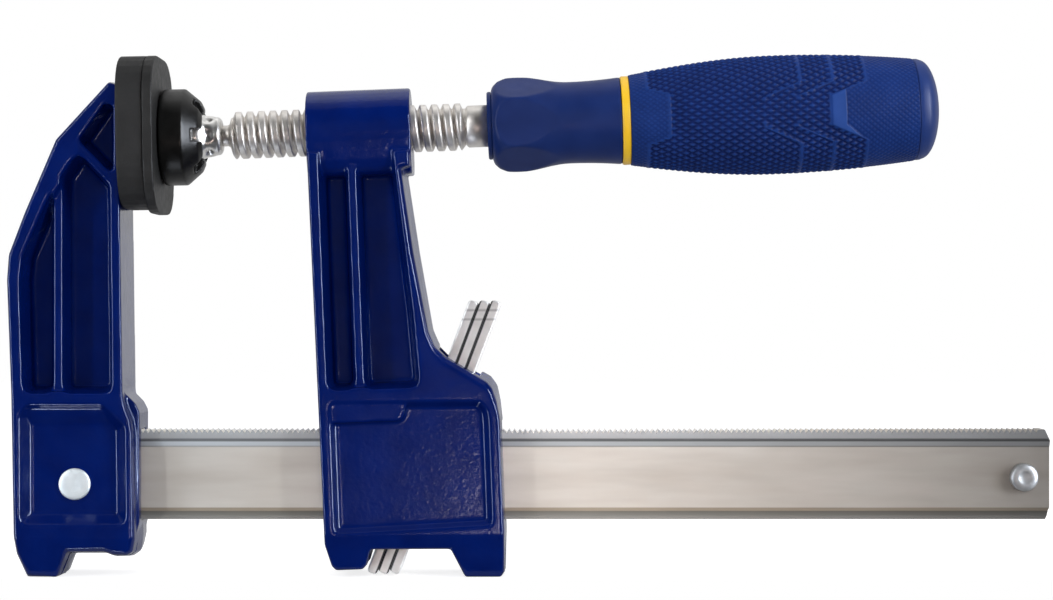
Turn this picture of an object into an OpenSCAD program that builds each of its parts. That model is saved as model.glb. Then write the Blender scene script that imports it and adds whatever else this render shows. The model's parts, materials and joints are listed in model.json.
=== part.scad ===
// Quick release bar clamp: a fixed jaw on a toothed bar, a sliding jaw held by leaning clutch plates,
// and a screw with a swivel pad. All sizes are in millimetres, +X runs along the bar towards the handle,
// -Y is the front and +Z is up. The origin is under the middle of the whole clamp, on the surface it stands on.

/* [Bar] */
// Length of the bar
bar_length = 264; // [240:1:600]
// Height of the bar
bar_height = 23.4; // [20:0.1:30]
// Thickness of the bar at its rails
bar_thickness = 8; // [7:0.1:10]
// Height of the bar's underside above the surface that the jaws stand on
bar_lift = 14.55; // [13:0.05:20]
// Depth of the recess in each side of the bar
bar_recess = 1.3; // [0.5:0.1:1.8]
// Height of the flat rail at the top of the bar's sides
top_rail = 1.5; // [1:0.1:4]
// Height of the flat rail at the bottom of the bar's sides
bottom_rail = 0.95; // [0.6:0.05:3]
// Height of the slope between the top rail and the recess
top_bevel = 2.2; // [0.8:0.1:3]
// Height of the slope between the recess and the bottom rail
bottom_bevel = 1.2; // [0.6:0.1:3]
// Spacing of the teeth on the bar's top edge
tooth_pitch = 1.4; // [1:0.1:3]
// Depth of the teeth
tooth_depth = 1; // [0.4:0.1:1.2]
// Length of the cut at the corners of the bar's free end
end_cut_length = 1.4; // [0.5:0.1:4]
// Height of the cut at the corners of the bar's free end
end_cut_height = 3; // [1:0.1:6]

/* [End stop] */
// Distance from the bar's free end to the stop pin
stop_inset = 6.9; // [5:0.1:15]
// Distance of the stop pin below the middle of the bar
stop_drop = 0.8; // [0:0.1:2]
// Diameter of the stop pin's heads
stop_head_d = 7.2; // [6:0.1:10]
// Diameter of the stop pin's shank
stop_shank_d = 4.4; // [3:0.1:5]
// Height of the stop pin's heads above the recess
stop_head_h = 2.8; // [2.2:0.1:5]

/* [Jaws] */
// Width of both jaw castings, front to back
jaw_width = 23; // [21:0.5:32]
// Height of the fixed jaw's tip above the bar
jaw_reach = 91.2; // [88:0.1:120]
// Length of the fixed jaw, from its heel to its clamping face
fixed_jaw_length = 30.6; // [28:0.1:40]
// Iron behind the bar's hidden end
heel_cover = 8.2; // [6:0.1:12]
// How far the clamping face leans back at its tip
face_toe = 1.1; // [0:0.1:1.2]
// Slope and rounding of the castings' sides, as the loss at each face
cast_draft = 1; // [0.5:0.1:1.5]
// Depth of the castings' rounded edges
edge_depth = 1.2; // [0.8:0.1:2]
// Distance from the castings' outline to their pockets
flange_width = 3.6; // [3:0.1:4.5]
// Thickness of the web between the pockets
web_thickness = 3.6; // [3:0.1:6]
// Width of the upright ribs at their edges
rib_width = 2.2; // [1.6:0.1:2.6]
// Distance of the upright ribs' edges below the castings' faces
rib_recess = 2.1; // [1:0.1:4]
// Slope of the pockets' walls, as the loss at the web
pocket_draft = 1.7; // [0.8:0.1:2]
// Depth of the shallow panel in the sliding jaw's box
slider_panel_depth = 2; // [1:0.1:2.2]
// Depth of the panel round the fixed jaw's rivet
fixed_panel_depth = 3.4; // [1:0.1:4]
// Distance from the bar's hidden end to the jaw rivet
rivet_inset = 9.6; // [8:0.1:14]
// Distance of the jaw rivet below the middle of the bar
rivet_drop = 2.2; // [0:0.1:4]
// Diameter of the rivet's heads
rivet_head_d = 8.2; // [7:0.1:10]
// Diameter of the rivet's shank
rivet_shank_d = 6; // [4:0.1:7]
// Height of the rivet's heads
rivet_head_h = 1; // [0.6:0.1:1.8]

/* [Sliding jaw] */
// Length of the sliding jaw's box along the bar
slider_length = 48.2; // [46:0.1:60]
// Lean of the sliding jaw on the bar, in degrees
jaw_lean = 2.2; // [0:0.1:2.5]
// Gap between the bar and the sliding jaw's channel
channel_gap = 0.12; // [0.05:0.01:0.3]
// Height of the screw above the middle of the bar
screw_height = 90.6; // [86:0.1:110]
// Outer diameter of the screw's barrel
barrel_d = 21.4; // [19:0.1:22]
// Length of the screw's barrel
barrel_length = 27.2; // [22:0.1:40]

/* [Clutch plates] */
// Number of plates is fixed at three; lean of the plates from upright, in degrees
plate_lean = 20.7; // [18:0.1:22]
// Thickness of each plate
plate_thickness = 2.5; // [2:0.1:2.5]
// Spacing of the plates, square to their faces
plate_pitch = 2.78; // [2.7:0.01:3]
// Width of each plate, front to back
plate_width = 14; // [13:0.1:15]
// Length of each plate above the middle of the bar
plate_above = 48.4; // [44:0.1:52]
// Length of each plate below the middle of the bar
plate_below = 27.3; // [22:0.1:27.5]
// Distance of the middle plate from the middle of the sliding jaw's box, along the bar
plate_offset = 2; // [1:0.1:3]
// Gap between the bar and the locked plates' windows
plate_grip_gap = 0.07; // [0.04:0.01:0.1]
// Diameter of the clutch spring's coil
spring_d = 4.6; // [3.5:0.1:5]
// Diameter of the clutch spring's wire
spring_wire_d = 0.7; // [0.5:0.05:0.9]
// Length of the clutch spring
spring_length = 9; // [7:0.1:10]

/* [Screw] */
// Diameter over the thread's crests
thread_d = 12.4; // [11:0.1:13]
// Diameter at the thread's roots
root_d = 9; // [8:0.1:10]
// Pitch of the thread
thread_pitch = 3.03; // [2.5:0.01:4]
// Length of the thread
thread_length = 61.9; // [50:0.1:120]
// Length of the screw between the barrel and the thread's tip
screw_extension = 20.5; // [19:0.1:30]
// Diameter of the plain shank next to the handle
shank_d = 11; // [9.5:0.1:12]
// Length of the plain shank
shank_length = 5.8; // [2:0.1:20]
// Diameter of the screw's end inside the handle
tang_d = 9; // [7:0.1:9.5]
// Length of the screw's end inside the handle
tang_length = 62; // [40:1:80]
// Diameter of the neck at the screw's tip
neck_d = 5.5; // [4.5:0.1:6]
// Bare length of the neck
neck_length = 2; // [2:0.1:6]
// Gap between turning pieces
running_gap = 0.06; // [0.03:0.01:0.09]
// Gap between pieces that are fixed together
fixed_gap = 0.03; // [0.01:0.01:0.05]

/* [Swivel pad] */
// Diameter of the swivel ball
ball_d = 12.8; // [12:0.1:14]
// Distance from the ball's centre to the end of its collar
collar_reach = 7.5; // [6.4:0.1:10]
// Diameter of the collar at its end
collar_d = 10.6; // [9.5:0.1:11]
// Diameter of the socket's body
socket_d = 25.4; // [23:0.1:28]
// Length of the socket from the pad's base to its mouth
socket_length = 10.8; // [10.6:0.1:14]
// Distance from the ball's centre to the socket's mouth
mouth_reach = 2.8; // [2.4:0.1:3]
// Height of the pad
pad_height = 41.1; // [36:0.1:60]
// Depth of the pad, front to back
pad_depth = 39; // [36:0.5:60]
// Radius of the pad's corners
pad_corner = 13.5; // [8:0.5:16]
// Thickness of the pad's gripping face
face_thickness = 6.9; // [6.5:0.1:12]
// Thickness of the pad's base plate
base_thickness = 2.6; // [2:0.1:4]
// How far the base plate stands out past the gripping face at the sides
base_step = 0.5; // [0.2:0.1:1]
// How far the base plate stands out below the gripping face
bottom_step = 1.4; // [0:0.1:2]
// Diameter of the socket's spigot through the base plate
spigot_d = 14; // [12:0.1:16]
// Gap between the pad and the fixed jaw's tip at rest
closed_gap = 0.25; // [0.2:0.05:1]
// How far the pad sits above the screw's axis
pad_rise = 0.4; // [0:0.1:2]
// Tilt of the swivel pad on its ball at rest, in degrees
pad_tilt = 1.1; // [0:0.1:1.5]

/* [Handle] */
// Length of the handle's smooth front
front_length = 34.1; // [32:0.1:40]
// Largest diameter of the smooth front
bulb_d = 25.2; // [24:0.1:28]
// Distance across the flats of the smooth front
flats_d = 21.8; // [21.6:0.1:24]
// Diameter of the smooth front's waist
waist_d = 21.4; // [20:0.1:21.4]
// Thickness of the washer at the handle's mouth
washer_thickness = 1; // [0.6:0.1:2]
// Diameter of the washer at the handle's mouth
washer_d = 17.8; // [16:0.1:19]
// Length of the accent ring
ring_length = 2.2; // [2:0.1:5]
// Diameter of the accent ring
ring_d = 23.3; // [22.6:0.1:25]
// Length of the grip sleeve
grip_length = 74.6; // [60:0.1:100]
// Largest diameter of the grip sleeve
grip_d = 31.4; // [29:0.1:34]
// Diameter of the core inside the ring and the grip
core_d = 19; // [16:0.1:19.4]
// Length of the domed end cap
cap_length = 6.5; // [5:0.1:10]
// Diameter of the handle's roll pin
roll_pin_d = 3; // [2:0.1:3.5]

/* [Hidden] */
$fn = 64;

// Places along and above the bar
overall_length = bar_length + heel_cover;
heel_x = -overall_length / 2;
bar_x0 = heel_x + heel_cover;
bar_x1 = bar_x0 + bar_length;
bar_top = bar_lift + bar_height;
bar_mid = bar_lift + bar_height / 2;
face_x = heel_x + fixed_jaw_length;
tip_z = bar_top + jaw_reach;
web_y = bar_thickness / 2 - bar_recess;

// Places in the sliding jaw's own frame: u along the screw, w square to it, from the bar's centre line
box_u0 = -slider_length / 2;
box_u1 = slider_length / 2;
channel_height = bar_height * cos(jaw_lean) + slider_length * sin(jaw_lean) + 2 * channel_gap;
barrel_u0 = box_u0;
barrel_u1 = barrel_u0 + barrel_length;
thread_u0 = barrel_u0 - screw_extension;
thread_u1 = thread_u0 + thread_length;
handle_u0 = thread_u1 + shank_length;
collar_u1 = thread_u0 - neck_length;
ball_u = collar_u1 - collar_reach;
socket_u1 = ball_u + mouth_reach;
socket_u0 = socket_u1 - socket_length;
swivel_gap = 0.3;
base_u1 = socket_u0 - swivel_gap;
base_u0 = base_u1 - base_thickness;
pad_u0 = base_u0 - face_thickness;
front_u1 = handle_u0 + washer_thickness + front_length;
ring_u1 = front_u1 + ring_length;
grip_u1 = ring_u1 + grip_length;
cap_u1 = grip_u1 + cap_length;

// The pad's gripping face just clears the fixed jaw's tip, and the sliding jaw follows from that
pad_lean = jaw_lean - pad_tilt;
pad_reach = ball_u - pad_u0;
pad_centre_z = bar_mid + ball_u * sin(jaw_lean) + screw_height * cos(jaw_lean) - pad_reach * sin(pad_lean);
slider_x = face_x - face_toe + closed_gap + (tip_z - pad_centre_z) * tan(pad_lean)
    + pad_reach * cos(pad_lean) - ball_u * cos(jaw_lean) + screw_height * sin(jaw_lean);

// Clutch: the middle plate's place, the half thickness of the stack of three, and the angle that the plates
// have room to swing through on release
plate_x = slider_x + plate_offset;
plate_step = plate_pitch / cos(plate_lean);
stack_half = plate_pitch + plate_thickness / 2;
window_height = (bar_height + plate_thickness * sin(plate_lean)) / cos(plate_lean) + 2 * plate_grip_gap;
window_width = bar_thickness + 0.5;
passage_width = plate_width + 0.7;
fulcrum_s = window_height / 2 + 1.1;
release_room = 8.4;

// Half the width that an upright rib would have if it reached the castings' faces
rib_half = rib_width / 2 - rib_recess * pocket_draft / (jaw_width / 2 - web_thickness / 2);
spring_w = channel_height / 2 + spring_d / 2 + 2.2;

// ---------- outline helpers ----------

function unit(v) = v / norm(v);
function around(i, n) = (i + n) % n;
function normal_in(a, b) = let (d = unit(b - a)) [-d[1], d[0]];

// Corner i of a closed outline, rounded with radius r by a few points on a parabola
function round_corner(p, i, r, steps) =
    let (
        n = len(p),
        b = p[i],
        to_last = p[around(i - 1, n)] - b,
        to_next = p[around(i + 1, n)] - b,
        half = acos(unit(to_last) * unit(to_next)) / 2,
        reach = min(r / tan(half), 0.45 * min(norm(to_last), norm(to_next))),
        start = b + unit(to_last) * reach,
        end = b + unit(to_next) * reach
    )
    [for (k = [0 : steps]) let (t = k / steps) (1 - t) * (1 - t) * start + 2 * t * (1 - t) * b + t * t * end];

function rounded(p, r, steps = 3) = [for (i = [0 : len(p) - 1]) each round_corner(p, i, r, steps)];

// An anticlockwise outline moved inwards by a distance of its own at each corner
function inset(p, distances) =
    [for (i = [0 : len(p) - 1])
        let (
            n = len(p),
            n1 = normal_in(p[around(i - 1, n)], p[i]),
            n2 = normal_in(p[i], p[around(i + 1, n)])
        )
        p[i] + distances[i] * (n1 + n2) / (1 + n1 * n2)];

function corners(rows) = [for (row = rows) [row[0], row[1]]];
function drafts(rows) = [for (row = rows) row[2]];

// A solid through rings of points: each ring is an outline in X and Z at its own y
module ring_solid(rings, ys) {
    n = len(rings[0]);
    last = len(rings) - 1;
    points = [for (k = [0 : last]) each [for (p = rings[k]) [p[0], ys[k], p[1]]]];
    near_cap = [for (i = [n - 1 : -1 : 0]) i];
    far_cap = [for (i = [0 : n - 1]) last * n + i];
    sides = [
        for (k = [0 : last - 1])
            for (i = [0 : n - 1])
                [k * n + i, k * n + around(i + 1, n), (k + 1) * n + around(i + 1, n), (k + 1) * n + i]
    ];
    polyhedron(points = points, faces = concat([near_cap], sides, [far_cap]));
}

// A casting: full size at mid-depth, sloping to its faces, with narrow rounded edges
module cast_body(rows, width) {
    outline = corners(rows);
    slopes = drafts(rows);
    half = width / 2;
    share = 0.55;
    beyond = 1;
    shoulder = inset(outline, slopes * share);
    end = inset(outline, slopes * (1 + (1 - share) * beyond / edge_depth));
    intersection() {
        ring_solid([end, shoulder, outline, shoulder, end],
            [-half - beyond, edge_depth - half, 0, half - edge_depth, half + beyond]);
        cube([3 * overall_length, width, 3 * overall_length], center = true);
    }
}

// All that lies inside one sloping wall of a pocket, which passes through a and b on the casting's face
module wall_side(a, b, slope) {
    translate([a[0], -jaw_width / 2, a[1]])
        rotate([0, -atan2(b[1] - a[1], b[0] - a[0]), 0])
            rotate([slope, 0, 0])
                translate([-overall_length, -overall_length, 0])
                    cube(2 * overall_length);
}

// A pocket cut from both faces down to a given distance from mid-depth; its outline has no inward corners
module pocket_pair(outline, floor_y, draft = pocket_draft, r = 2.4) {
    shape = rounded(outline, r, 2);
    n = len(shape);
    depth = jaw_width / 2 - floor_y;
    for (side = [0, 1])
        mirror([0, side, 0])
            intersection() {
                translate([-overall_length, -floor_y - depth - 1, -overall_length])
                    cube([2 * overall_length, depth + 1, 2 * overall_length]);
                intersection_for (i = [0 : n - 1])
                    wall_side(shape[i], shape[around(i + 1, n)], atan(draft / depth));
            }
}

// A straight prism of a side-view outline, centred on y = 0
module side_slab(outline, width) {
    rotate([90, 0, 0])
        translate([0, 0, -width / 2])
            linear_extrude(width)
                polygon(outline);
}

// Everything below the surface that the clamp stands on, which cuts the feet flat
module below_floor() {
    translate([-overall_length, -jaw_width, -20])
        cube([2 * overall_length, 2 * jaw_width, 20]);
}

// The sliding jaw's frame, which the screw, the pad and the handle share
module jaw_frame() {
    translate([slider_x, 0, bar_mid])
        rotate([0, -jaw_lean, 0])
            children();
}

// The screw's axis: local Z of the children runs along it, towards the handle
module screw_frame() {
    jaw_frame()
        translate([0, 0, screw_height])
            rotate([0, 90, 0])
                children();
}

// The swivel pad's axis, which tilts about the ball
module pad_frame() {
    screw_frame()
        translate([0, 0, ball_u])
            rotate([0, pad_tilt, 0])
                translate([0, 0, -ball_u])
                    children();
}

// A turned piece, from [radius, place along the axis] points
module turned(profile) {
    rotate_extrude()
        polygon(profile);
}

module tube(u0, u1, outer, inner) {
    turned([[inner, u0], [outer, u0], [outer, u1], [inner, u1]]);
}

// ---------- bar ----------

function bar_section() =
    let (
        half = bar_thickness / 2,
        low = bar_lift + bottom_rail,
        high = bar_top - tooth_depth - top_rail
    )
    [
        [half, bar_lift], [half, low], [web_y, low + bottom_bevel], [web_y, high - top_bevel], [half, high],
        [half, bar_top], [-half, bar_top], [-half, high], [-web_y, high - top_bevel],
        [-web_y, low + bottom_bevel], [-half, low], [-half, bar_lift],
    ];

function bar_side() =
    let (
        first = bar_x0 + tooth_pitch,
        last = bar_x1 - end_cut_length - tooth_pitch,
        count = floor((last - first) / tooth_pitch)
    )
    concat(
        [[bar_x0, bar_lift], [bar_x1 - end_cut_length, bar_lift], [bar_x1, bar_lift + end_cut_height],
            [bar_x1, bar_top - end_cut_height], [bar_x1 - end_cut_length, bar_top]],
        [for (k = [count : -1 : 0])
            each [[first + (k + 0.5) * tooth_pitch, bar_top], [first + k * tooth_pitch, bar_top - tooth_depth]]],
        [[bar_x0, bar_top]]
    );

module pin_hole(x, drop, d) {
    translate([x, 0, bar_mid - drop])
        rotate([90, 0, 0])
            cylinder(h = jaw_width * 2, d = d, center = true);
}

module bar() {
    color([0.72, 0.7, 0.66])
        difference() {
            intersection() {
                translate([bar_x0, 0, 0])
                    rotate([90, 0, 90])
                        linear_extrude(bar_length)
                            polygon(bar_section());
                side_slab(bar_side(), bar_thickness * 2);
            }
            pin_hole(bar_x0 + rivet_inset, rivet_drop, rivet_shank_d + 2 * fixed_gap);
            pin_hole(bar_x1 - stop_inset, stop_drop, stop_shank_d + 2 * fixed_gap);
        }
}

// A pin across the bar with a head at each end; seat is the distance from mid-depth to a head's underside
module cross_pin(x, drop, shank_d, head_d, head_h, seat, rim) {
    translate([x, 0, bar_mid - drop])
        rotate([90, 0, 0])
            rotate_extrude()
                polygon([
                    [0, -seat - head_h], [head_d / 2 - rim, -seat - head_h], [head_d / 2, -seat - head_h + rim],
                    [head_d / 2, -seat], [shank_d / 2, -seat], [shank_d / 2, seat], [head_d / 2, seat],
                    [head_d / 2, seat + head_h - rim], [head_d / 2 - rim, seat + head_h], [0, seat + head_h],
                ]);
}

module end_stop_pin() {
    color([0.6, 0.6, 0.58])
        cross_pin(bar_x1 - stop_inset, stop_drop, stop_shank_d, stop_head_d, stop_head_h, web_y + fixed_gap, 0.9);
}

// ---------- fixed jaw ----------

fixed_panel_y = jaw_width / 2 - fixed_panel_depth;
collar_x = face_x + 3.9;
collar_width = 16;

// Mid-depth outline as [x, z, draft], anticlockwise from the left foot
function fixed_outline() =
    let (
        bar_z = bar_lift - 14.55,
        top_z = bar_top - 37.95,
        d = cast_draft
    )
    [
        [heel_x + 5, -0.8, 1.5], [heel_x + 13.6, -0.8, 0.8], [heel_x + 16.6, 5.3 + bar_z, 2.2],
        [face_x - 5.4, 5.3 + bar_z, 2.4], [face_x - 3, 4.4 + bar_z, 2.4], [face_x + 1.2, 4.6 + bar_z, 1.8],
        [face_x + 3.2, 6 + bar_z, 1.6], [face_x + 3.8, 9.8 + bar_z, 1.3], [face_x + 3.4, 37.5 + top_z, 1.3],
        [face_x + 2.8, 41 + top_z, 1.2], [face_x + 1.1, 44.6 + top_z, 0.8], [face_x, 48 + top_z, 0],
        [face_x - face_toe, tip_z - 1.8, 0], [face_x - face_toe - 2.6, tip_z, d],
        [heel_x + 12.8, tip_z - 15.4, d], [heel_x + 4.6, tip_z - 34.6, d], [heel_x + 0.5, tip_z - 45.4, d],
        [heel_x, tip_z - 52.1, d], [heel_x + 1.1, 47.5 + top_z, d], [heel_x + 1.5, 10.8 + bar_z, 1.4],
        [heel_x + 2, 5.8 + bar_z, 1.8],
    ];

module fixed_jaw() {
    floor_y = web_thickness / 2;
    rib_y = jaw_width / 2 - rib_recess;
    heel_in = heel_x + flange_width;
    face_in = face_x - flange_width;
    rib_x = heel_x + 13.6;
    web_top = bar_top + 9.6;
    color([0.02, 0.07, 0.3])
        difference() {
            union() {
                cast_body(fixed_outline(), jaw_width);
                // Collar where the bar leaves the casting
                side_slab(
                    [[face_x - 4, bar_lift - 8], [collar_x - 1.8, bar_lift - 8], [collar_x, bar_lift - 0.5],
                        [collar_x, bar_top + 4.8], [collar_x - 1.1, bar_top + 7], [face_x, bar_top + 9.8],
                        [face_x - 4, bar_top + 9.8]],
                    collar_width);
            }
            // Pocket behind the upright rib
            pocket_pair([[heel_in + 1.1, web_top], [rib_x - rib_half, web_top],
                [rib_x - rib_half, tip_z - 27], [heel_in + 5.4, tip_z - 35.6],
                [heel_in + 0.9, tip_z - 46], [heel_in + 0.2, tip_z - 52.3]], floor_y);
            // Pocket between the upright rib and the clamping face
            pocket_pair([[rib_x + rib_half, web_top], [face_in + 1, web_top],
                [face_in + 1 - 0.6 * face_toe, tip_z - 27.4], [face_in - 8, tip_z - 18.6],
                [rib_x + rib_half, tip_z - 25.4]], floor_y);
            // The upright rib stands back from the faces
            pocket_pair([[heel_in + 1.5, web_top + 0.4], [face_in + 0.6, web_top + 0.4],
                [face_in, tip_z - 27.7], [face_in - 8.1, tip_z - 19.2], [heel_in + 5.8, tip_z - 35.8],
                [heel_in + 1.3, tip_z - 46], [heel_in + 0.6, tip_z - 52.3]], rib_y, 0.5, 1.8);
            // Small pocket at the tip
            pocket_pair([[face_in + 1.3, tip_z - 25.2], [face_in + 1.3, tip_z - 6.9],
                [face_in - 1, tip_z - 6.2], [face_in - 7.8, tip_z - 15.9]], floor_y, 1.2, 1);
            // Panel round the rivet
            pocket_pair([[heel_x + 3.8, bar_lift - 1], [face_x + 1.1, bar_lift - 1],
                [face_x + 0.8, bar_top + 1.2], [face_x - 4.9, bar_top + 7], [heel_x + 5.4, bar_top + 7],
                [heel_x + 3.7, bar_top + 4]], fixed_panel_y, 2.8, 2);
            // Socket for the bar
            translate([bar_x0 - fixed_gap, -bar_thickness / 2 - fixed_gap, bar_lift - fixed_gap])
                cube([fixed_jaw_length * 2, bar_thickness + 2 * fixed_gap, bar_height + 2 * fixed_gap]);
            pin_hole(bar_x0 + rivet_inset, rivet_drop, rivet_shank_d + 2 * fixed_gap);
            below_floor();
        }
}

module jaw_rivet() {
    color([0.82, 0.82, 0.8])
        cross_pin(bar_x0 + rivet_inset, rivet_drop, rivet_shank_d, rivet_head_d, rivet_head_h,
            fixed_panel_y + fixed_gap, 0.5);
}

// ---------- sliding jaw ----------

// Mid-depth outline as [u, w, draft], anticlockwise from the left foot
function slider_outline() =
    let (
        foot = -bar_mid - 2.2,
        under = -channel_height / 2 - 7.3,
        d = cast_draft
    )
    [
        [box_u0 + 0.6, under + 3, 0.5], [box_u0 + 2.2, foot + 5.6, d / 2], [box_u0 + 3.4, foot + 4.3, d / 2],
        [box_u0 + 10.6, foot + 4.3, d / 2], [box_u0 + 11.8, foot + 5.6, d / 2], [box_u0 + 13, under + 1.1, d / 2],
        [box_u1 - 14.9, under + 0.4, d / 2], [box_u1 - 11.1, foot + 0.6, d / 2], [box_u1 - 9.3, foot, d / 2],
        [box_u1 - 2.5, foot, d / 2], [box_u1 - 0.7, foot + 2.4, d / 2], [box_u1, under + 5, d],
        [box_u1, 14, d], [box_u1 - 0.3, 18.4, 1.8], [box_u1 - 1, 22.4, 2.6], [box_u1 - 2.6, 24.8, 3],
        [box_u1 - 4.5, 26, 3], [box_u1 - 12.8, 31.3, 3], [box_u1 - 15.9, 33.9, 2],
        [box_u1 - 17.3, 37.5, 1.9], [box_u1 - 20.1, 58, 2.4], [box_u1 - 22.5, screw_height - 11.6, 2.2],
        [barrel_u1 + 0.2, screw_height - 10.6, d], [barrel_u1 + 0.2, screw_height - 5.4, d],
        [box_u0 - 0.1, screw_height - 5.4, 0.5],
    ];

// The passage that the clutch plates lean in, in the plates' own frame
function passage_outline() =
    [
        [stack_half + 0.5, fulcrum_s + 2], [stack_half + 0.5, 20], [stack_half + 2.8, 44],
        [-stack_half - 0.25 - (44 - fulcrum_s) * tan(release_room), 44],
        [-stack_half - 0.25, fulcrum_s - 0.5], [-stack_half - 1.1, fulcrum_s - 2], [-stack_half - 1.1, -40],
        [stack_half + 0.5 + (42 + fulcrum_s) * tan(release_room), -40],
    ];

module plate_frame(k) {
    translate([plate_x + (k - 2) * plate_step, 0, bar_mid])
        rotate([0, plate_lean, 0])
            children();
}

module sliding_jaw() {
    floor_y = web_thickness / 2;
    rib_y = jaw_width / 2 - rib_recess;
    panel_y = jaw_width / 2 - slider_panel_depth;
    pocket_top = screw_height;
    rib_u = box_u0 + 11.6;
    color([0.02, 0.07, 0.3])
        difference() {
            jaw_frame()
                difference() {
                    union() {
                        cast_body(slider_outline(), jaw_width);
                        barrel_body(barrel_u0, barrel_length);
                    }
                    // Pockets on both sides of the rib, which stands back from the faces
                    difference() {
                        union() {
                            pocket_pair([[box_u0 + 3.1, 22.8], [rib_u - rib_half, 22.8],
                                [rib_u - rib_half, pocket_top], [box_u0 + 3.1, pocket_top]], floor_y);
                            pocket_pair([[rib_u + rib_half, 22.8], [box_u1 - 21, 22.8], [box_u1 - 22, 42],
                                [box_u1 - 26.2, pocket_top], [rib_u + rib_half, pocket_top]], floor_y);
                            pocket_pair([[box_u0 + 3.5, 23.2], [box_u1 - 21.4, 23.2], [box_u1 - 22.4, 42],
                                [box_u1 - 26.6, pocket_top - 0.4], [box_u0 + 3.5, pocket_top - 0.4]],
                                rib_y, 0.5, 1.8);
                        }
                        barrel_body(box_u0 - 5, slider_length + 10);
                    }
                    // Panel on the box
                    pocket_pair([[box_u0 + 3.4, -14.4], [box_u1 - 3.4, -13.6], [box_u1 - 3.4, 14],
                        [box_u1 - 3.8, 16.6], [box_u1 - 5.6, 18.8], [box_u0 + 3.4, 20]], panel_y, 1.6, 1.6);
                    // Bore of the barrel
                    translate([box_u0 - 5, 0, screw_height])
                        rotate([0, 90, 0])
                            cylinder(h = slider_length + 10, d = thread_d + 2 * running_gap);
                    // Channel for the bar
                    cube([slider_length * 2, bar_thickness + 2 * channel_gap, channel_height], center = true);
                    // Pocket of the clutch spring
                    translate([spring_u0, 0, spring_w])
                        rotate([0, 90, 0])
                            cylinder(h = spring_length + 6, d = spring_d + 0.5);
                }
            plate_frame(2)
                side_slab(passage_outline(), passage_width);
            below_floor();
        }
}

// The screw's barrel: round above, and squarer below where it runs into the casting
module barrel_body(u0, length) {
    half = [[0, 10.6], [3, 10.5], [5.6, 10.2], [8.3, 9.7], [10.1, 9], [11.2, 8.1], [11.9, 6.9], [12.2, 5.4]];
    across = concat(half, [for (i = [len(half) - 1 : -1 : 0]) [half[i][0], -half[i][1]]]);
    translate([u0, 0, screw_height])
        rotate([0, 90, 0]) {
            cylinder(h = length, d = barrel_d);
            linear_extrude(length)
                polygon(across * barrel_d / 21.4);
        }
}

// ---------- clutch ----------

module clutch_plate(k) {
    bevel = 0.5;
    half = plate_thickness / 2;
    color([0.8, 0.79, 0.77])
        plate_frame(k)
            difference() {
                side_slab([[-half, -plate_below + bevel], [-half + bevel, -plate_below],
                    [half - bevel, -plate_below], [half, -plate_below + bevel], [half, plate_above - bevel],
                    [half - bevel, plate_above], [-half + bevel, plate_above], [-half, plate_above - bevel]],
                    plate_width);
                cube([plate_thickness * 3, window_width, window_height], center = true);
            }
}

module clutch_plate_1() {
    clutch_plate(1);
}

module clutch_plate_2() {
    clutch_plate(2);
}

module clutch_plate_3() {
    clutch_plate(3);
}

// Where the first plate's left face meets the spring's axis, in the sliding jaw's frame
lean_in_jaw = plate_lean + jaw_lean;
spring_u1 = plate_offset * cos(jaw_lean) + spring_w * tan(lean_in_jaw)
    - stack_half / cos(lean_in_jaw) - spring_d / 2 * tan(lean_in_jaw) - 0.15;
spring_u0 = spring_u1 - spring_length;

module clutch_spring() {
    turns = 6;
    steps = 12;
    sides = 6;
    wire = spring_wire_d / 2;
    coil = spring_d / 2 - wire;
    rings = turns * steps;
    climb = (spring_length - spring_wire_d) / rings;
    points = [
        for (i = [0 : rings])
            for (j = [0 : sides - 1])
                let (turn = i * 360 / steps, out = coil + wire * cos(j * 360 / sides))
                [out * cos(turn), out * sin(turn), i * climb + wire * sin(j * 360 / sides)]
    ];
    skin = [
        for (i = [0 : rings - 1])
            for (j = [0 : sides - 1])
                [i * sides + j, i * sides + around(j + 1, sides),
                    (i + 1) * sides + around(j + 1, sides), (i + 1) * sides + j]
    ];
    ends = [[for (j = [sides - 1 : -1 : 0]) j], [for (j = [0 : sides - 1]) rings * sides + j]];
    color([0.6, 0.6, 0.6])
        jaw_frame()
            translate([spring_u0 + wire, 0, spring_w])
                rotate([0, 90, 0])
                    polyhedron(points = points, faces = concat(skin, ends));
}

// ---------- screw ----------

tip_head_d = neck_d + 1.4;
tip_head_length = 3;
tip_u0 = ball_u - 3.2;

function thread_profile() =
    let (
        crest = thread_d / 2,
        root = root_d / 2,
        count = floor(thread_length / thread_pitch),
        start = thread_u0 + (thread_length - count * thread_pitch) / 2
    )
    [for (k = [0 : count - 1])
        let (u = start + k * thread_pitch)
        each [[root, u], [crest - 0.5, u + thread_pitch * 0.28], [crest, u + thread_pitch * 0.4],
            [crest, u + thread_pitch * 0.6], [crest - 0.5, u + thread_pitch * 0.72]]];

module spindle() {
    neck = neck_d / 2;
    head = tip_head_d / 2;
    tang = tang_d / 2;
    tip = [
        [0, tip_u0], [head - 0.4, tip_u0], [head, tip_u0 + 0.4], [head, tip_u0 + tip_head_length],
        [neck, tip_u0 + tip_head_length], [neck, thread_u0 - 0.4], [root_d / 2, thread_u0 - 0.4],
    ];
    back = [
        [shank_d / 2, thread_u1], [shank_d / 2, handle_u0 + washer_thickness], [tang, handle_u0 + washer_thickness],
        [tang, handle_u0 + tang_length - 1], [tang - 1, handle_u0 + tang_length], [0, handle_u0 + tang_length],
    ];
    color([0.78, 0.78, 0.78])
        screw_frame()
            difference() {
                turned(concat(tip, thread_profile(), back));
                roll_pin_hole();
            }
}

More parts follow.
